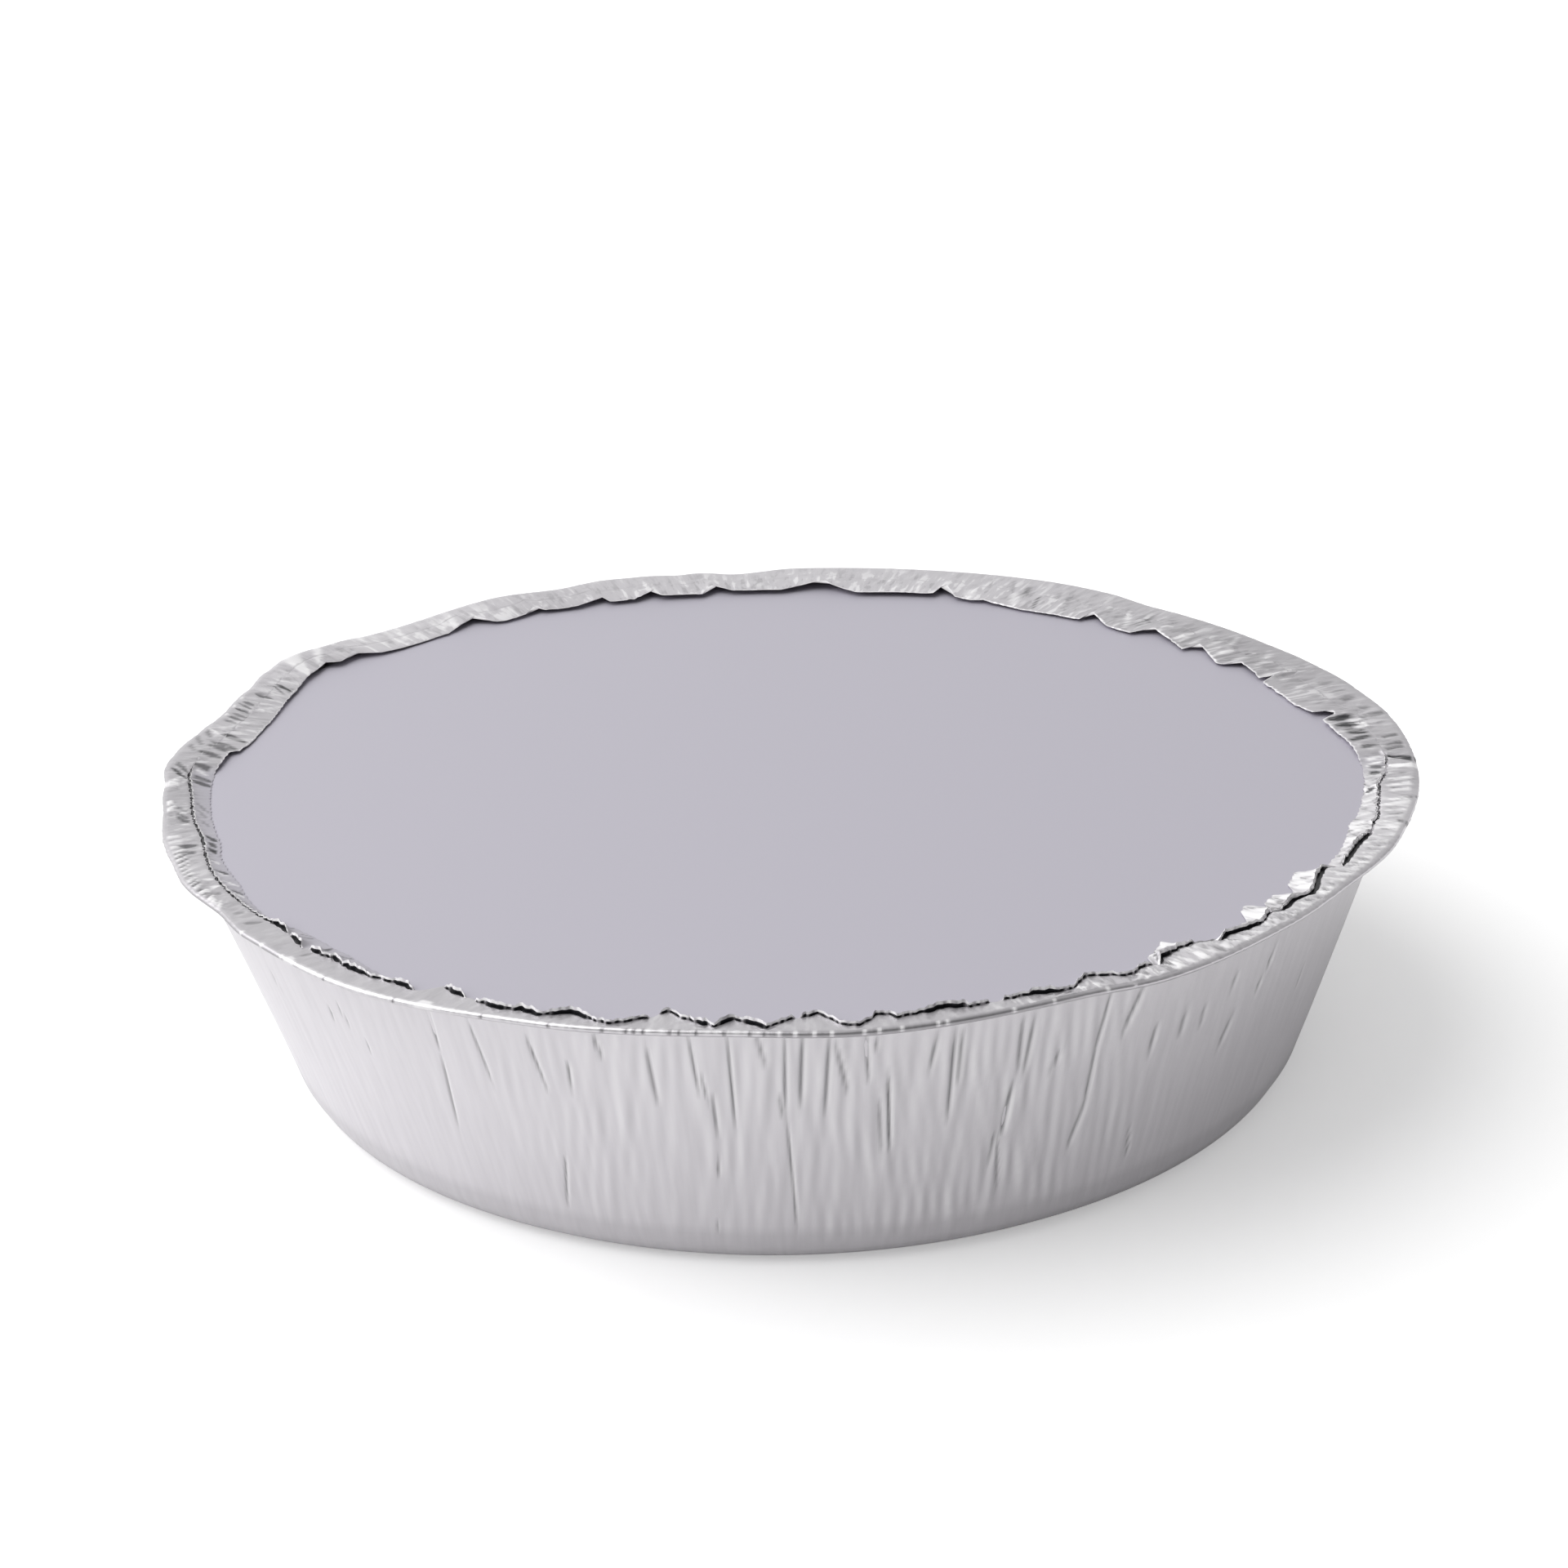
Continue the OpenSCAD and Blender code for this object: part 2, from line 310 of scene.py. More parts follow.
def wall_wrinkles(b, z):
    """How far the wall stands out of its cone at bearings b and height z, in mm, and how much painted
    shade and painted highlight its waves, creases and foot get there."""
    # The wrinkles end at the foot and at the ledge. They are strongest in front, and fan out from
    # its middle as they run down.
    held = ease((z - 4) / 5) * ease((ledge_h - z) / 3)
    busy = 0.08 + (0.55 + 0.25 * ease((b - 266) / 14)) * span(b, 237, 308, 20)
    fanned = b + 0.1 * (z - ledge_h) * np.clip((b - 274) / 30, -1, 1)
    out = wave_h * busy * ripples(fanned, z, 60, 170, 30, 21)
    out = out + fine_wave_h * busy * ripples(fanned, z, 200, 330, 22, 22)
    # The waves' sides that slope one way get painted shade and the other way a painted highlight, and the
    # foot gets painted shade
    slope = np.gradient(out * held, np.radians(b) * wall_mid_r)
    painted_shade = 0.3 * np.clip(-slope, 0, 0.4) + foot_shade * ease((foot_shade_h - z) / 2)
    painted_highlight = 1.2 * np.clip(slope, 0, 0.4)
    out = out * held + wide_wave_h * ripples(b, z, 5, 24, 160, 23) * held
    # A crease is a groove with a low swell on its right. It gets painted shade in its depth and a painted
    # highlight beside it.
    for top_b, top_z, low_b, low_z, depth, width in wall_creases:
        s = (top_z - z) / (top_z - low_z)
        if -0.15 < s < 1.15:
            off = arc(b, top_b + (low_b - top_b) * s, wall_mid_r)
            fade = float(ease((s + 0.15) / 0.4) * ease((1.15 - s) / 0.4))
            out = out - depth * fade * np.exp(-(off / width) ** 2)
            out = out + 0.35 * depth * fade * np.exp(-((off - 2.2 * width) / (1.4 * width)) ** 2)
            painted_shade = np.maximum(painted_shade, (0.2 + 2.4 * depth) * fade * np.exp(-(off / (0.6 * width)) ** 2))
            lit = np.exp(-((off - 1.2 * width) / (0.7 * width)) ** 2)
            painted_highlight = np.maximum(painted_highlight, (0.12 + 2.2 * depth) * fade * lit)
    return out, np.minimum(painted_shade, 0.85), painted_highlight


# The corner and the wall outside, from the base up to the ledge. The wall runs straight off the
# corner's arc, so its lean follows from the other sizes.
corner_steps = (0.3, 0.65, 1)
wall_rows = 22
wall_rise = math.atan2(ledge_h - corner_r, wall_top_r - base_r)
wall_lean = math.acos(corner_r / math.hypot(wall_top_r - base_r, ledge_h - corner_r)) - wall_rise
foot_r = base_r + corner_r * math.cos(wall_lean)
foot_h = corner_r * (1 - math.sin(wall_lean))
wall_out = []
for s in corner_steps:
    turn = -math.pi / 2 + s * (math.pi / 2 - wall_lean)
    r, z = base_r + corner_r * math.cos(turn), corner_r * (1 + math.sin(turn))
    # The corner gets the foot's painted shade
    wall_out.append(ring(r, z, painted_shade=foot_shade, shift=0))
for s in np.arange(1, wall_rows) / wall_rows:
    z = foot_h + (ledge_h - foot_h) * s
    out, painted_shade, painted_highlight = wall_wrinkles(b, z)
    wall_out.append(ring(foot_r + (wall_top_r - foot_r) * s + out, z, painted_shade=painted_shade, painted_highlight=painted_highlight, shift=s * s))
wall_out.append(ring(wall_top_r, ledge_h))

# The wall inside, from the ledge down to the corner. It is plain, since the lid hides it, and it
# keeps clear of the creases outside.
wall_in_steps = (0.8, 0.4, 0.1)
wall_in = []
for s in wall_in_steps:
    r, z = foot_r + (wall_top_r - foot_r) * s - 3 * foil_t, foot_h + (ledge_h - foot_h) * s
    wall_in.append(ring(r, z, shift=s * s))
wall_in.append(ring(base_r + 0.6 * corner_r, 0.3 * corner_r, shift=0))

# The three kinds of folds in the rim's pleats, as (share of the slant, degrees apart)
pleat_kinds = ((2, 2.9), (-1.5, 1.3), (1, 0.66))


def around(stops, b, sharp=False):
    """Value at bearings b of a closed list of (bearing, value), eased or straight between."""
    at, value = np.array(stops + [(stops[0][0] + 360, stops[0][1])], float).T
    b = (b - at[0]) % 360 + at[0]
    k = np.clip(np.searchsorted(at, b, side="right") - 1, 0, len(at) - 2)
    s = (b - at[k]) / (at[k + 1] - at[k])
    return value[k] + (value[k + 1] - value[k]) * (s if sharp else ease(s))


def folds(b, width, seed):
    """Uneven sharp folds, about so many degrees apart, between -1 and 1."""
    draw = np.random.default_rng(seed)
    count = round(360 / width)
    at = np.cumsum(draw.uniform(0.5, 1.6, 2 * count))
    height = draw.uniform(0.25, 1, 2 * count) * np.tile((1, -1), count)
    return np.interp(b % 360, at * 360 / at[-1], height, period=360)


def pleats(b, slant, seed):
    """Pleats of the folded rim: wide, middling and fine folds on top of one another, in clumps."""
    clumps = 0.8 + 0.9 * ease(folds(b, 7, seed) + 0.6)
    wide, middling, fine = (
        folds(b + share * slant, width, seed + n) for n, (share, width) in enumerate(pleat_kinds))
    return clumps * (0.45 * wide + 0.4 * middling + 0.25 * fine)


def loose_fold(b, s):
    """The loose lip's pleats, from 0 at its rolled edge to 1 at its free edge."""
    return pleats(b, 2 * s, 12) * math.sin(math.pi * (0.1 + 0.75 * s))


def spots(b, places, reach):
    """1 at each of the bearings, falling to 0 so many degrees from it."""
    near = np.array([np.abs((b - place + 180) % 360 - 180) for place in places]).min(axis=0)
    return ease(1 - near / reach)


def stretches(b, places, turn):
    """1 within each (start, end), with a soft turn of so many degrees inside each end."""
    return np.array([span(b, start, end, turn) for start, end in places]).max(axis=0)


# How far the rim's edge stands out of round, as (bearing, mm outwards)
rim_out = [
    (0, 0.5), (5, 0.4), (13, -0.3), (22, -0.9), (30, -1.4), (45, -1.3), (52, 0.2), (88, 0), (95, -1),
    (99, 0.5), (102, -0.6), (106, 0.4), (110, 0.8), (116, -1), (123, 0.8), (135, -0.1), (139, 0),
    (144, 1.6), (150, 3.7), (154, 2.8), (159, 0.8), (165, -0.1), (169, 0.6), (174, 1.4), (178, 1.6),
    (184, 0), (190, -0.7), (198, -0.3), (202, -0.4), (207, 0), (214, -0.8), (220, 0.2), (235, 1.6),
    (250, 0.4), (265, -0.6), (275, 0.4), (293, -1.2), (300, 0), (315, -1), (323, -1.3), (335, 0),
    (350, 0.7),
]
# Height of the fold's crest above the lid, as (bearing, mm)
crest_up = [
    (0, 1.2), (12, 1.1), (28, 0.75), (45, 0.75), (60, 1.4), (88, 1.25), (95, 0.8), (105, 1.5), (122, 1.9),
    (135, 1.4), (147, 2.1), (158, 1.4), (169, 0.6), (190, 0.5), (215, 0.45), (325, 0.45), (345, 0.8),
]
# Height of the lip's free edge above the lid where it is loose, as (bearing, mm)
edge_up = [
    (0, 0.4), (20, 0.45), (45, 0.55), (60, 0.5), (72, 0.8), (85, 0.95), (100, 0.9), (112, 0.7), (125, 0.55),
    (135, 0.4), (150, 0.6), (156, 0.35), (175, 0.4),
]
# Radius of the lip's free edge, as (bearing, mm), with straight runs between the notches
free_edge = [
    (0, 91.9), (5, 90.5), (6, 93.1), (7, 93.2), (7.4, 90), (11, 88.4), (18.6, 88.2), (19.4, 91.2),
    (19.8, 88.6), (25, 89.7), (25.4, 87.8), (26.3, 86.3), (32.5, 89.5), (32.8, 86), (40, 89.5),
    (41.5, 85.7), (45.3, 85.8), (49.3, 89.6), (49.6, 86), (55, 85.7), (58, 85.6), (64, 87.4), (65, 86.7),
    (67.6, 87.4), (69.8, 92.7), (70.3, 87.9), (77, 87), (80.3, 86.4), (83.4, 89), (84.6, 91.4), (87.5, 90),
    (90, 88.2), (96.2, 89), (98.6, 91.8), (100, 88.3), (105, 89.6), (105.5, 92.5), (108.5, 89.8),
    (111.6, 90.5), (112, 92.8), (115.4, 91), (119.6, 92.1), (120.3, 94.4), (122.2, 92.2), (125, 91.6),
    (126.8, 92.7), (127.2, 96.4), (132.3, 93.1), (139, 93.2), (142, 94.2), (144.3, 97), (147.2, 96.5),
    (148, 98.5), (150.2, 97.6), (152.8, 96.7), (156, 95), (161.5, 92.8), (165, 91.8), (171, 91.4),
    (174.5, 92.2), (174.8, 93.4), (180.5, 94.1), (188, 93.4), (199, 92.7), (203, 93.8), (210, 94.1),
    (212, 94.8), (220, 96.3), (221.5, 94.7), (224, 94.6), (230, 95.5), (234, 97), (239, 99), (300, 99),
    (301, 94.9), (302.5, 93.6), (304, 92), (305, 94.3), (306, 99), (308.5, 99), (309, 95.4), (312.5, 95.4),
    (313.5, 92.9), (315, 91.8), (316, 94.6), (316.5, 93.5), (318.5, 93), (320, 95.3), (321, 93),
    (324, 91.6), (326, 94.8), (331, 94.4), (337, 93.1), (339, 93.6), (352, 93.5), (357, 92.8),
]
# Radius of the crack that is pressed along the lip at the sides and the front, as (bearing, mm)
crack_line = [
    (181, 98.2), (182, 97.8), (186.5, 96.5), (193, 95.9), (197.5, 95.2), (200, 95.5), (205.5, 96.5),
    (211, 96.8), (217.5, 96.8), (220.5, 96.3), (222.5, 96.7), (225.5, 98.1), (226.5, 97.7), (228, 98),
    (229, 97.6), (231.5, 98.5), (234.5, 98.8), (237, 98.5), (239, 99.2), (240.5, 96.4), (242, 97.4),
    (244.5, 98.4), (246.5, 99.2), (248.5, 98.7), (250, 99.4), (251.5, 98.4), (252.5, 97.6), (254, 98.7),
    (256, 99.7), (257.5, 98.3), (259, 96.9), (260, 95), (261.5, 96.9), (263, 98.2), (264, 99),
    (265.5, 96.7), (266, 97.5), (267, 98.2), (268, 99.3), (269, 98), (270, 97), (271.5, 96.1), (272, 95.7),
    (273, 97.3), (273.5, 98.9), (275, 99.8), (276, 98.4), (276.5, 97), (277.5, 97.1), (278, 98.4),
    (280, 97.6), (281, 97.5), (282, 96.7), (284, 97.7), (289, 97), (292, 98), (293, 97.6), (294, 96),
    (295, 95.4), (296, 96.3), (297.5, 98), (298.5, 97.8), (300, 96.7), (301, 97.8), (302, 96.1),
    (304.5, 95.2), (306, 95.4), (308, 97), (309.5, 96.5), (310.5, 97), (313, 97.5), (315, 96.2),
    (316, 97.3), (318.5, 96.6), (320.5, 97.6), (322, 96.9), (324, 95.6), (326, 94.9), (327, 97.1),
    (329, 96.7), (332.5, 96.4), (336, 97.1), (338, 96.6), (339, 97), (342, 96.3), (347.5, 95.9),
    (350.5, 97.1), (354.5, 97.6),
]
# Stretches between two bearings where the crack gapes, and where it is pressed shut
crack_gapes = [
    (219, 222), (223, 225.2), (226.4, 227.8), (228.8, 230.3), (230.5, 233.5), (236.5, 238.5), (241, 243),
    (245, 247.5), (247.8, 250.3), (250.7, 254.3), (262.5, 263.8), (264.1, 265.7), (266, 268.2),
    (280.2, 284), (289, 291.5), (301.2, 303.4), (308, 313), (316, 326.5), (327.5, 335.5),
]
crack_shut = [
    (221.9, 222.9), (225.2, 226.3), (238.5, 240.9), (243, 244.5), (258.6, 259.6), (270, 270.8),
    (285.5, 287), (300.3, 301.2), (305.8, 308), (326.5, 327.4), (335.5, 337.5), (350.5, 353),
]
# Flaps of the lip inside the crack that stand up to the light and get a painted highlight, and stretches
# where close pleats are drawn as stripes of painted shade, as (start, end)
bright_flaps = [
    (301, 305.5), (312.8, 316), (316.6, 319.6), (320.5, 325.5), (331, 334), (335, 338.2), (345, 347),
]
pinches = [(25.4, 28), (41.5, 44), (155.5, 158.5)]
# How high the lip's pleats stand, as (bearing, mm), and the height that shows in full
pleat_h = [
    (0, 0.26), (30, 0.25), (60, 0.2), (130, 0.22), (172, 0.26), (212, 0.2), (219, 0.05), (240, 0.05),
    (285, 0.08), (300, 0.3), (315, 0.28), (345, 0.26),
]
full_pleat_h = 0.25
# How much painted shade the lip gets under its creases, as (bearing, share); below 0 it gets a painted
# highlight instead
lip_shade_and_highlight = [
    (0, 0.16), (8, 0.16), (16, 0.24), (32, 0.27), (45, 0.12), (60, 0.05), (120, 0.05), (130, -0.1),
    (140, -0.2), (148, 0), (165, 0.2), (190, 0.3), (200, 0.18), (212, 0.22), (240, 0.14), (290, 0.12),
    (300, 0), (308, -0.3), (320, -0.25), (340, -0.2), (350, 0.16),
]
# Share of the fine creases that the lip shows, in relief and in painted highlight and shade, as (bearing,
# share)
crease_share = [
    (0, 0.4), (20, 0.5), (60, 0.6), (140, 0.6), (165, 0.4), (185, 0.3), (212, 0.3), (219, 0.1), (284, 0.15),
    (292, 0.8), (312, 0.8), (320, 0.5), (345, 0.4),
]
# How much painted highlight and painted shade the rim's rolled edge gets, as (bearing, share), and the
# bearings of its spots of painted highlight and its thin ticks of painted shade
roll_highlight = [(170, 0), (227, 0.05), (229, 1), (267, 1), (269, 0.1), (300, 0.1), (310, 0.2), (345, 0)]
roll_shade = [
    (175, 0), (200, 0.15), (213, 0.4), (226, 0.4), (229, 0), (267, 0), (269, 0.55), (284, 0.5), (300, 0.1),
    (310, 0),
]
roll_highlight_spots = [
    219.3, 222.5, 225.5, 240.6, 241.8, 269, 270.2, 271.6, 272.9, 275.3, 276.4, 278.1, 280.9, 281.6, 287,
    290.4, 295,
]
roll_shade_ticks = [231.2, 238.4, 246, 251.5, 255.7, 257.5, 258.1, 258.8, 260.8, 261.5, 262.8, 264.9, 266.8, 267.9]
# Groups of creases pressed into the lip, as (bearing of the first, how many, degrees apart, degrees
# it leans, where it starts and ends, mm wide, tone). The places run from 0 at the rolled edge
# through 1 at the crack to 2 at the free edge. A tone above 0 is painted highlight, below 0 painted shade.
hatches = [
    (130.2, 1, 0, 0.2, 0.4, 2, 0.7, 0.9), (136.2, 1, 0, 2, 0, 2, 0.45, 0.8),
    (137.8, 1, 0, 1.1, 0, 1.9, 0.5, 0.8), (141, 1, 0, 0.6, 0, 0.65, 0.8, 0.9),
    (144.4, 1, 0, 0, 0, 0.3, 0.9, 0.9), (146.3, 1, 0, 2.7, 0, 2, 0.9, 1), (149.4, 1, 0, 2.4, 0, 2, 2.1, 1),
    (156, 1, 0, 0.8, 0.9, 1.9, 0.6, -0.9), (159.2, 1, 0, 0.6, 0.5, 1.4, 0.6, -0.9),
    (2.4, 3, 0.8, -0.2, 0.8, 1.4, 0.6, 0.9), (2.8, 2, 2.6, 0, 1, 1.9, 1.3, -1),
    (0.2, 2, 1.2, 0.4, 1.1, 1.8, 0.9, -1), (5.4, 1, 0, -0.8, 0, 0.9, 1.1, -0.8),
    (8, 4, 2.5, -0.6, 0.2, 0.9, 0.9, -0.6), (22, 4, 1.1, -0.7, 0.8, 1.9, 0.6, -0.5),
    (26, 5, 2.6, -0.5, 1, 1.9, 0.6, 0.7), (161, 3, 2, 0.3, 0, 0.25, 0.7, 0.9),
    (161.2, 6, 1, 0.9, 0.2, 1, 0.5, -0.85), (168.8, 1, 0, 1.6, 0.2, 0.8, 0.5, 0.8),
    (170, 4, 1.5, 2.4, 0.7, 1.95, 1, -1), (169, 3, 1.7, 3, 0, 0.7, 0.9, -0.8),
    (176.8, 2, 1.6, 3.4, 0.1, 1, 1, -1), (178.4, 3, 1.9, 1.8, 0.9, 2, 1.1, -1),
    (179.2, 2, 1.9, 1.9, 1, 1.9, 0.45, 0.8), (183.2, 1, 0, 0, 0, 0.6, 1.3, 1),
    (188.4, 2, 1.8, -1, 0, 0.4, 1.1, 1), (189, 3, 1.3, 2.5, 0.3, 1, 0.9, -0.95),
    (188.4, 3, 2, 2.8, 1.1, 1.9, 1, -0.6), (196.4, 3, 1.4, 0, 0, 0.5, 0.7, 0.9),
    (197, 3, 1.4, 1.6, 1, 1.9, 1, -1), (199, 2, 1.6, 0.4, 0.3, 0.9, 0.9, -0.9),
    (200.4, 13, 0.95, -0.8, 0, 0.5, 0.5, 1), (202.6, 3, 4.2, 1, 1.05, 1.8, 0.6, 0.6),
    (200.9, 12, 0.95, -0.7, 0, 0.4, 0.4, -0.85), (205.4, 2, 5, 1.4, 1.1, 1.9, 0.8, -0.9),
    (207.6, 2, 2.2, 0.5, 0.55, 1, 0.5, 0.8), (210.5, 3, 1.8, -1.2, 0, 0.4, 0.7, 1),
    (211, 3, 3.8, 0.8, 0.2, 0.9, 0.7, -0.6), (219.4, 2, 2.5, 0.4, 0, 0.1, 0.6, 1),
    (299, 32, 1.4, -0.7, 0, 1, 0.4, 0.9), (300.5, 20, 2.1, -0.6, 0.1, 0.9, 0.3, -0.5),
    (302, 5, 1.4, -0.5, 0.15, 0.7, 0.4, 0.9), (311, 4, 2.6, -0.4, 0.05, 0.6, 0.45, 0.9),
    (312, 3, 3.1, 0.3, 0.2, 0.7, 0.35, -0.4), (322.6, 5, 1.6, -0.8, 0.05, 0.7, 0.6, 0.95),
    (323.5, 3, 2.4, -0.6, 0.1, 0.5, 0.4, -0.35), (336, 3, 2, -1.2, 1.1, 2, 0.8, 1),
    (337.4, 2, 0.6, 0, 0.1, 1, 0.8, 1), (338.4, 1, 0, 0.2, 0, 0.3, 0.6, -0.7),
    (342.6, 4, 1.6, -0.9, 0, 0.95, 0.75, 1), (343, 3, 1.9, -0.5, 1.1, 1.95, 0.8, 1),
    (344.4, 1, 0, -1.2, 0, 0.5, 0.5, -0.6), (345.8, 1, 0, -0.4, 1.2, 1.8, 1.2, -1),
    (348.6, 1, 0, 0, 0.1, 0.9, 0.7, 0.95), (350.6, 2, 1.6, 0, 1.05, 1.8, 1.2, -1),
    (351.6, 1, 0, 0.4, 0, 1, 1.1, 1), (353.2, 1, 0, 1.2, 0, 0.95, 1.1, -1),
    (353.4, 2, 1.2, -1, 1.1, 1.9, 0.7, 1), (356.4, 3, 1.4, -0.8, 0, 0.9, 0.8, -0.85),
    (357.4, 2, 1.8, -0.7, 1.05, 1.9, 1.1, -1), (66.4, 1, 0, -0.8, 1.3, 2, 1.5, 0.6),
    (65.3, 1, 0, -1, 0.3, 1.1, 0.5, -0.4), (62.6, 1, 0, -1, 0.3, 1, 0.5, -0.45),
    (61, 1, 0, -1.6, 1.1, 1.95, 1.3, 0.7), (60.4, 1, 0, -1.2, 0.5, 1.35, 0.7, -0.55),
    (57.8, 1, 0, -1.2, 1.1, 1.9, 0.4, -0.85), (56.2, 1, 0, -1, 0.55, 1.35, 0.6, -0.5),
    (55, 1, 0, -1.8, 0.6, 1.5, 0.5, -0.4), (49.2, 2, -1.6, -2.2, 1, 1.85, 0.5, -0.45),
    (46.4, 1, 0, -3.2, 0.7, 1.8, 0.6, 0.9), (44.3, 1, 0, -0.5, 0.3, 1, 0.6, -0.4),
    (216.5, 1, 0, 1, 1.1, 1.9, 0.35, -0.5), (221, 1, 0, 0.6, 1.1, 1.95, 0.35, -0.7),
    (222.3, 1, 0, 1.6, 1.2, 1.95, 0.35, -0.7), (223.8, 1, 0, 0.8, 1.3, 1.9, 0.35, -0.6),
    (227.4, 1, 0, 0, 1.05, 1.95, 0.45, -0.85), (229.3, 1, 0, 1.1, 1.2, 1.95, 0.35, -0.6),
    (226.8, 1, 0, 0.2, 0.45, 0.95, 0.4, -0.6), (226.6, 1, 0, 0, 0, 0.12, 1.4, 1),
    (241.1, 1, 0, 0, 0, 0.15, 1.6, 1), (208.3, 1, 0, 1.7, 1.1, 1.85, 0.6, 0.8),
    (211.6, 1, 0, 1.2, 1.05, 1.7, 0.6, 0.8), (36.2, 1, 0, -1.4, 1, 1.85, 0.6, 0.8),
    (32, 1, 0, -2.6, 0.2, 1.3, 0.55, 0.7), (25.8, 1, 0, -3, 0.4, 1.7, 0.6, 0.8),
]


def lip_marks(b, s):
    """The painted shade and painted highlight that the groups of creases give the lip, at a place between 0
    and 2.
    """
    draw = np.random.default_rng(61)
    painted_shade, painted_highlight = np.zeros_like(b), np.zeros_like(b)
    for first, count, apart, lean, start, end, wide, tone in hatches:
        several = count > 1
        for k in range(count):
            jog, trim_start, trim_end, strength = draw.uniform(0, 1, 4)
            along = (s - start) / (end - start)
            if not 0.2 * trim_start * several <= along <= 1 - 0.25 * trim_end * several:
                continue
            at = first + (k + 0.5 * (jog - 0.5) * several) * apart + lean * along
            off = np.abs(arc(b, at, rim_r))
            taper = 0.35 + 0.75 * math.sin(math.pi * (along if start > 0 else 0.5 + 0.5 * along))
            mark = abs(tone) * (0.7 + 0.3 * strength) * ease(1.6 * (1.16 - off / (wide * taper)))
            if tone > 0:
                painted_highlight = np.maximum(painted_highlight, mark)
            else:
                painted_shade = np.maximum(painted_shade, mark)
    return painted_shade, painted_highlight


# Where the lip is loose, along the back, where it is pressed down on the lid, and how much of it
# lies in front and on the right, as shares
back = span(b, 353, 181, 3)
pressed = 1 - back
front = span(b, 214, 318, 10)
right = span(b, 292, 358, 12)

# How high its pleats stand here, and how much of each look it has
rough = around(pleat_h, b)
full = np.minimum(rough / full_pleat_h, 1)
pinched = stretches(b, pinches, 0.8)
look = around(crease_share, b)
# The lip's painted shade and painted highlight by bearing
lip_shade, lip_highlight = around(lip_shade_and_highlight, b).clip(0), -around(lip_shade_and_highlight, b).clip(max=0)

# Lines that run round the rim: its edge, its crest, the crack and the lip's free edge. The lip lies
# so far over the lid where it is pressed down, and its crest is so far in from the edge, in mm.
lip_gap = 0.08
crest_in = 0.6
edge_r = rim_r + around(rim_out, b)
floor_z = lid_top + lip_gap + foil_t
crest_z = lid_top + around(crest_up, b)
crest_r = edge_r - crest_in
gape = stretches(b, crack_gapes, 0.5)
open_share = pressed * (1 - stretches(b, crack_shut, 0.25))
parted = open_share * np.maximum(gape, ease(1.3 + 2.2 * folds(b, 0.55, 36)))
crack_w = (0.2 + 0.22 * (1 - front) + 0.28 * gape + 0.1 * folds(b, 1.7, 34)) * parted
free_r = around(free_edge, b, sharp=True) + 0.2 * folds(b, 0.9, 31)
tips_r = np.min([around(free_edge, b + turn, sharp=True) for turn in range(-5, 6)], axis=0)
free_z = lid_top + around(edge_up, b) + 0.16 * (free_r - tips_r).clip(0, 4)
# Along the back, which has no crack, its line runs halfway between the crest and the free edge
crack_r = around(crack_line, b, sharp=True) + (0.12 + 0.1 * front) * folds(b, 1.2, 35)
crack_r = crest_r + pressed * (crack_r - crest_r) - back * 0.5 * (crest_r - free_r)
free_r = np.minimum(free_r, crack_r - crack_w / 2 - 0.5)
# Heights of the flap's edge over the lid, and of the lip where the crack begins
flange_h = (0.34 + 0.3 * front + 0.3 * gape + 0.16 * folds(b, 0.8, 32)) * open_share
brink_z = pressed * (floor_z + 0.1 * front + 0.34 * (1 - front)) + back * (0.5 * crest_z + 0.5 * free_z)

# The ledge and the rolled edge, with painted highlights along it and in spots, and painted shade in thin
# ticks across it
ledge_in = 2
edge_dark, edge_bright = lip_marks(b, 0)
rolled_highlight = around(roll_highlight, b) * (1 - spots(b, roll_shade_ticks, 0.3)) * (0.55 + 0.4 * folds(b, 0.8, 11))
rolled_highlight = np.max([rolled_highlight, spots(b, roll_highlight_spots, 0.3), edge_bright], axis=0)
rolled_shade = np.maximum(around(roll_shade, b), lip_shade) * (1 - rolled_highlight)
rolled_shade = np.max([rolled_shade, 0.7 * spots(b, roll_shade_ticks, 0.25), edge_dark], axis=0)
ridge = 0.35 * rough * pleats(b, 0, 41)
lip_out = [
    ring(rim_r - ledge_in, ledge_h + 0.05),
    ring(edge_r - 0.3, ledge_h + 0.35 + 0.3 * ridge),
    ring(edge_r - 0.1 + ridge, (ledge_h + crest_z) / 2 + 0.1, painted_shade=rolled_shade, painted_highlight=0.5 * edge_bright),
    ring(edge_r - 0.2 + ridge, crest_z - 0.12, painted_shade=rolled_shade, painted_highlight=rolled_highlight),
    ring(crest_r, crest_z, painted_shade=np.maximum(0.3 * rolled_shade, lip_shade), painted_highlight=0.8 * rolled_highlight),
]

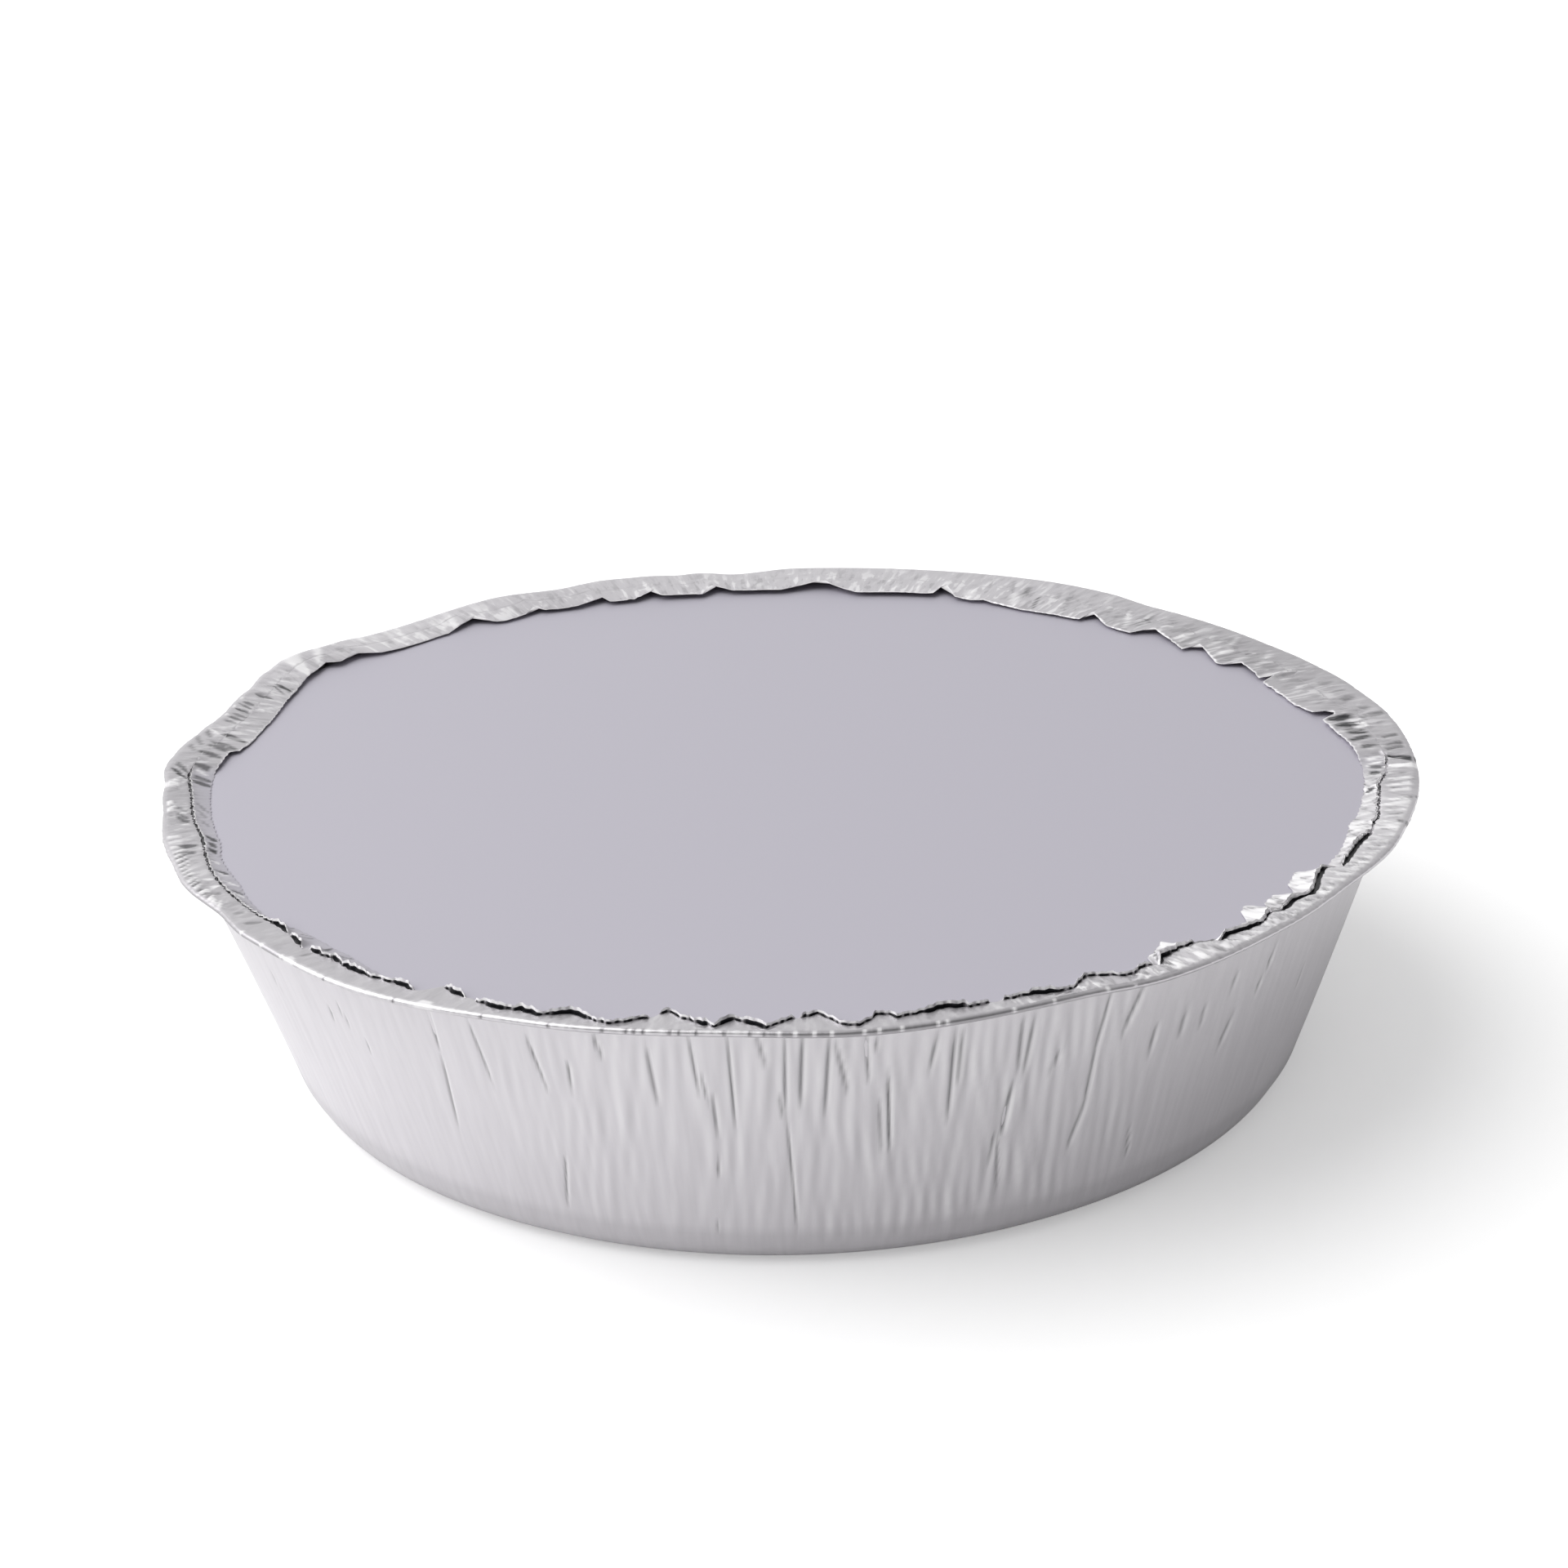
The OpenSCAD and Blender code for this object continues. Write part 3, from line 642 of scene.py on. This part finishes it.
# The lip from its crest to the brink of the crack
mark_h = 0.12
for s in (0.1, 0.22, 0.36, 0.5, 0.65, 0.8, 0.92):
    fold = pleats(b, s, 12) * math.sin(math.pi * (0.15 + 0.7 * s)) * pressed + loose_fold(b, s / 2) * back
    marked, lit = lip_marks(b, s)
    z = crest_z + (brink_z - crest_z) * (ease(s) * pressed + s * back) + rough * (0.3 + 0.8 * fold)
    z = z + mark_h * (lit - marked)
    # Fold valleys get painted shade and fold crests a painted highlight; pinched stretches get stripes of
    # painted shade, and the hatch marks and the lip's painted shade and highlight by bearing join them
    crease_shade = np.clip(-2 * fold - 0.7, 0, 0.5) * full * (1 - 0.7 * back)
    glint = np.clip(2.2 * fold - 0.8, 0, 0.7) * full * (0.45 + 0.55 * pressed)
    pinch_shade = pinched * np.clip(2.5 * folds(b + 1.2 * s, 0.85, 51) - 0.2, 0, 0.8)
    dim = np.max([crease_shade, pinch_shade * s, marked, lip_shade + 0.06 * fold], axis=0)
    shine = np.max([glint, lit, lip_highlight], axis=0) * (1 - marked)
    fine = look * (pressed + back * (0.3 + 0.7 * s))
    r = crest_r + (crack_r + crack_w / 2 - crest_r) * s
    lip_out.append(ring(r, z, painted_shade=dim, painted_highlight=shine, creased=fine))

# The crack: down to the lid, across it, and up the side of the flap. The crack gets painted shade, and the
# flap's upper edge a painted highlight.
# Along the back there is no crack, and these rings run on as part of the loose lip.
loose = back * rough * (0.3 + 0.8 * loose_fold(b, 0.5))
lid_side = brink_z + pressed * (floor_z - brink_z) + loose
step = 0.06 - 0.045 * back
lid_edge = crack_r - crack_w / 2
# The seam carries the lip's painted shade and highlight; a gaping crack gets near-black painted shade and the
# flange's edge a painted highlight
seam_dark, seam_lit = np.maximum(lip_shade, back * dim), np.maximum(lip_highlight, back * shine)
crack_dark, crack_lit = np.maximum(seam_dark, parted), seam_lit * (1 - open_share)
flange_highlight = np.maximum(open_share * (0.3 + 0.7 * (folds(b, 0.7, 33) > -0.25)), seam_lit * back)
lip_out += [
    ring(crack_r + crack_w / 2, brink_z + loose, painted_shade=seam_dark, painted_highlight=seam_lit),
    ring(crack_r + crack_w / 2 - 0.3 * step, lid_side, painted_shade=crack_dark, painted_highlight=crack_lit),
    ring(lid_edge - 0.5 * step, lid_side, painted_shade=crack_dark, painted_highlight=crack_lit),
    ring(lid_edge - step, lid_side + 0.48 * flange_h, painted_shade=crack_dark, painted_highlight=crack_lit),
    ring(lid_edge - 1.2 * step, lid_side + 0.56 * flange_h, painted_shade=seam_dark, painted_highlight=flange_highlight),
    ring(lid_edge - 2 * step, lid_side + flange_h, painted_shade=seam_dark, painted_highlight=flange_highlight),
    ring(lid_edge - 3.8 * step, lid_side + 0.85 * flange_h, painted_shade=seam_dark, painted_highlight=0.8 * flange_highlight),
]

# The flap inside the crack, or the loose lip's inner half, in to the free edge. It has one height
# where it lies on the lid and another where it hangs loose over it.
start_r = lid_edge - 5.6 * step
stand = 0.16 * right * (1 - front) + 0.3 * stretches(b, bright_flaps, 0.6)
lie_flat = pressed * (1 - right)
# The standing flaps, and more faintly the flap along the right, get a painted highlight
flap_highlight = stretches(b, bright_flaps, 0.4) + 0.35 * right * (1 - front)
flat_drop = 0.09
for s in (0, 0.2, 0.4, 0.6, 0.8, 0.93, 1):
    fold = pleats(b, 1 - s, 14) * pressed + loose_fold(b, 0.5 + s / 2) * back
    marked, lit = lip_marks(b, 1 + s)
    inner_rough = rough * (0.7 * right + 0.15 * (1 - right)) * math.sin(math.pi * (0.2 + 0.7 * s))
    lie = floor_z - flat_drop * lie_flat * s + flange_h * 0.7 * (1 - s) ** 3
    lie = lie + stand * (1 - s) + inner_rough * (0.4 + 0.8 * fold) * (1 - lie_flat * s)
    lie = lie + mark_h * (lit - marked) * (1 - s)
    hang = brink_z + (free_z - brink_z) * s + back * rough * (0.3 + 0.8 * fold) * (1 - s ** 3)
    z = lie * pressed + hang * back
    # Fold valleys, pinches, hatch marks and the lip's shade by bearing get painted shade; lit flaps, fold
    # crests, hatch marks and the loose lip's free edge get painted highlight
    crease_shade = np.clip(-2 * fold - 0.7, 0, 0.6) * (1 - 0.5 * lie_flat) * full * (1 - 0.7 * back)
    pinch_shade = pinched * np.clip(2.5 * folds(b - 2 * s, 0.85, 52) - 0.2, 0, 0.8)
    crease_shade = np.maximum(crease_shade, pinch_shade * (1 - 0.5 * s) * (s < 0.9))
    crease_shade = np.max([crease_shade, marked, lip_shade * (1 - 0.5 * lie_flat)], axis=0)
    glint = np.clip(flap_highlight * (0.7 + fold), 0, 1) * (s < 1) * pressed
    glint = glint + back * np.clip(2.2 * fold - 0.7, 0, 0.9) * s + back * (s == 1)
    glint = np.max([glint, lit, lip_highlight], axis=0).clip(0, 1) * (1 - marked)
    lip_out.append(ring(start_r + (free_r - start_r) * s, z, painted_shade=crease_shade, painted_highlight=glint,
                        flat=lie_flat * (0.6 + 0.4 * s), creased=look * (1 - 0.75 * lie_flat) * (s < 1)))

# Back under the lip from its free edge, round inside the rolled edge and over the ledge to the wall
least_gap = 0.04
roll_w = 1.4
lip_root = lid_top + least_gap
tip_z = z
lip_in = []
for s in (0, 0.5, 1):
    under_z = lip_root + (1 - s) * (tip_z - foil_t - lip_root).clip(0)
    lip_in.append(ring(free_r + (edge_r - roll_w - free_r) * s, under_z))
lip_in += [
    ring(edge_r - 0.45, (lid_top + ledge_h) / 2),
    ring(edge_r - 0.7, ledge_h + foil_t),
    ring(wall_top_r - foil_t, ledge_h + foil_t),
]

# The base, as (radius, height) from its middle out, with two plain rings that keep its faces even,
# and the section of its stiffening ring, as shares of its half width and its height
plain_rings = (20, 40)
ring_section = ((-1, 0), (-0.5, 0.7), (0, 1), (0.5, 0.7), (1, 0))
base_profile = [(r, 0) for r in plain_rings]
base_profile += [(ring_r + ring_w / 2 * across, ring_h * up) for across, up in ring_section]
base_profile += [(base_r, 0)]
base_under = [ring(r, z, shift=0) for r, z in base_profile]
base_over = [ring(r, z + foil_t, shift=0) for r, z in base_profile[::-1]]

points, shares, faces = [], [], []


def add_ring(rows, every=1):
    """Add a ring's points to the pan, from one column in so many, and give their numbers."""
    b, r, z, *looks, shift = rows[:, ::every]
    first = len(points)
    b = np.radians(b)
    points.extend(np.stack([r * np.cos(b) + shift * rim_shift, r * np.sin(b), z], axis=1) * mm)
    shares.extend(np.stack(looks, axis=1))
    return first + np.arange(len(b))


def join_rings(low, high):
    """Close the band between two rings; one may have several times the other's points."""
    if len(low) == len(high):
        faces.extend(zip(low, np.roll(low, -1), np.roll(high, -1), high))
        return
    few, many = (low, high) if len(low) < len(high) else (high, low)
    times = len(many) // len(few)
    for i, here in enumerate(few):
        after = few[(i + 1) % len(few)]
        run = [many[(i * times + j) % len(many)] for j in range(times + 1)]
        parts = [(here, run[j], run[j + 1]) for j in range(times // 2)]
        parts.append((here, run[times // 2], after))
        parts += [(after, run[j], run[j + 1]) for j in range(times // 2, times)]
        faces.extend(part if few is high else part[::-1] for part in parts)


def smooth_mesh(name, points, faces, sharp_from):
    """A mesh that is shaded smooth, but for its edges from so many degrees on."""
    mesh = bpy.data.meshes.new(name)
    mesh.from_pydata([tuple(point) for point in points], [], [tuple(int(v) for v in face) for face in faces])
    mesh.shade_smooth()
    mesh.set_sharp_from_angle(angle=math.radians(sharp_from))
    return mesh


# One closed skin: the base from below, out and up the wall, over the rim and back inside
rings = [add_ring(rows, inside_share) for rows in base_under]
rings += [add_ring(rows) for rows in wall_out + lip_out]
rings += [add_ring(rows, inside_share) for rows in lip_in + wall_in + base_over]
for low, high in zip(rings, rings[1:]):
    join_rings(low, high)
for edge, height, turned in ((rings[0], 0, True), (rings[-1], foil_t, False)):
    middle = len(points)
    points.append((0, 0, height * mm))
    shares.append((0, 0, 0, 0))
    for here, after in zip(edge, np.roll(edge, -1)):
        faces.append((middle, after, here) if turned else (middle, here, after))

pan_mesh = smooth_mesh("foil_pan_skin", points, faces, sharp_from=60)
looks = ("painted_shade", "painted_highlight", "flat", "creased")
for name, values in zip(looks, np.array(shares, np.float32).T):
    pan_mesh.attributes.new(name, "FLOAT", "POINT").data.foreach_set("value", np.ascontiguousarray(values))
pan = put_in_scene("foil_pan_skin", pan_mesh)

# Bare foil in its two tones and where it was pressed flat on the lid, the near-black of painted
# shade in cracks and creases, and the near-white of painted highlights on edges, crests and flaps
foil_low = (0.66, 0.64, 0.67, 1)
foil_high = (0.78, 0.76, 0.79, 1)
pressed_colour = (0.56, 0.54, 0.6, 1)
painted_shade_colour = (0.012, 0.012, 0.016, 1)
painted_highlight_colour = (0.97, 0.96, 0.97, 1)

foil = bpy.data.materials.new("soft_foil")
sheet = bare_tree(foil)
painted_shade, painted_highlight, flat, creased = [sheet.node("Attribute", {"attribute_name": name}, out="Fac") for name in looks]
place = sheet.node("TexCoord", out="Object")
x, y, z = place.parts()
wall = z.ease((ledge_h + 0.5) * mm, (ledge_h - 0.5) * mm)

# Streaks that run in from the rim and down the wall, crumple, the foil's rolled grain, and haze
across = sheet.math("ARCTAN2", y, x) * rim_r * mm
inwards = sheet.math("SQRT", x * x + y * y)
drawn = sheet.node("CombineXYZ", inputs={0: across, 1: 0.14 * inwards, 2: 0.07 * z})
crushed = sheet.node("CombineXYZ", inputs={0: across, 1: 0.5 * inwards, 2: 0.3 * z})
streaks = sheet.node("TexNoise", inputs={"Vector": drawn, "Scale": 800, "Detail": 2})
crumple = sheet.node("TexNoise", inputs={"Vector": crushed, "Scale": 420, "Detail": 3, "Distortion": 0.8})
grain = sheet.node("TexNoise", inputs={"Vector": place, "Scale": 2500, "Detail": 2})
haze = sheet.node("TexNoise", inputs={"Vector": place, "Scale": 60, "Detail": 2})

creases = 0.55 * streaks + 0.45 * crumple
# Where the lip shows fine creases, their noise adds painted highlight and painted shade as well as relief
painted_highlight = sheet.math("MINIMUM", painted_highlight + creased * creases.ease(0.53, 0.6), 1)
painted_shade = (painted_shade + 0.35 * creased * creases.ease(0.45, 0.38)) * (1 - painted_highlight)
colour = flat.blend(streaks.blend(foil_low, foil_high), pressed_colour)
# Painted highlight turns the colour towards near-white and painted shade towards near-black
colour = (painted_highlight * 0.95).blend(colour, painted_highlight_colour)
colour = painted_shade.blend(colour, painted_shade_colour)
height = 0.3 * streaks * (1 - 0.6 * wall) + 0.08 * grain + creased * creases
relief = sheet.node("Bump", inputs={"Strength": 0.35, "Distance": 0.5 * mm, "Height": height})
finish = sheet.node("BsdfPrincipled", inputs={
    "Base Color": colour,
    "Metallic": 0.85 - 0.35 * flat - 0.4 * painted_shade - 0.75 * painted_highlight - 0.1 * wall,
    "Roughness": 0.26 + 0.12 * haze + 0.15 * flat,
    "Normal": relief,
})
sheet.node("OutputMaterial", inputs={0: finish})
pan_mesh.materials.append(foil)
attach(pan, "root")
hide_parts("foil_pan")


# Board lid. A disc of white board with foil laminated to its upper face, cut flat and laid on the
# pan's ledge, where the folded rim holds it.
lid_r = (lid_high[0] - lid_low[0]) / 2
lid_middle = (lid_high[0] + lid_low[0]) / 2
lid_bevel = 0.06
lid_steps = 360
# Rings of points on its two faces, as shares of its radius
lid_shares = [0.12, 0.3, 0.5, 0.7, 0.82, 0.9, 0.95, 0.98]

lid_path = [(lid_r * share, lid_high[2]) for share in lid_shares]
lid_path += [(lid_r - lid_bevel, lid_high[2]), (lid_r, lid_high[2] - lid_bevel)]
lid_path += [(lid_r, lid_low[2] + lid_bevel), (lid_r - lid_bevel, lid_low[2])]
lid_path += [(lid_r * share, lid_low[2]) for share in lid_shares[::-1]]
lid_turn = np.radians(np.arange(lid_steps))
lid_points, lid_faces = [], []
for r, z in lid_path:
    lid_ring = [lid_middle + r * np.cos(lid_turn), r * np.sin(lid_turn), z + 0 * lid_turn]
    lid_points.extend(np.stack(lid_ring, axis=1) * mm)
for k in range(len(lid_path) - 1):
    for i in range(lid_steps):
        j = (i + 1) % lid_steps
        low, high = k * lid_steps, (k + 1) * lid_steps
        lid_faces.append((low + i, high + i, high + j, low + j))
lid_faces.append(range(lid_steps))
lid_faces.append(range(len(lid_points) - 1, len(lid_points) - 1 - lid_steps, -1))
lid_mesh = smooth_mesh("board_lid_skin", lid_points, lid_faces, sharp_from=30)
lid = put_in_scene("board_lid_skin", lid_mesh)

lid_colour = (0.585, 0.565, 0.635, 1)
board = bpy.data.materials.new("foil_laminated_board")
face = bare_tree(board)
face_place = face.node("TexCoord", out="Object")
fibre = face.node("TexNoise", inputs={"Vector": face_place, "Scale": 1800, "Detail": 3})
face_relief = face.node("Bump", inputs={"Strength": 0.08, "Distance": 0.1 * mm, "Height": fibre})
face_finish = face.node("BsdfPrincipled", inputs={
    "Base Color": lid_colour,
    "Metallic": 0.5,
    "Roughness": 0.5 + 0.05 * fibre,
    "Normal": face_relief,
})
face.node("OutputMaterial", inputs={0: face_finish})
lid_mesh.materials.append(board)
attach(lid, "root")
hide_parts("board_lid")
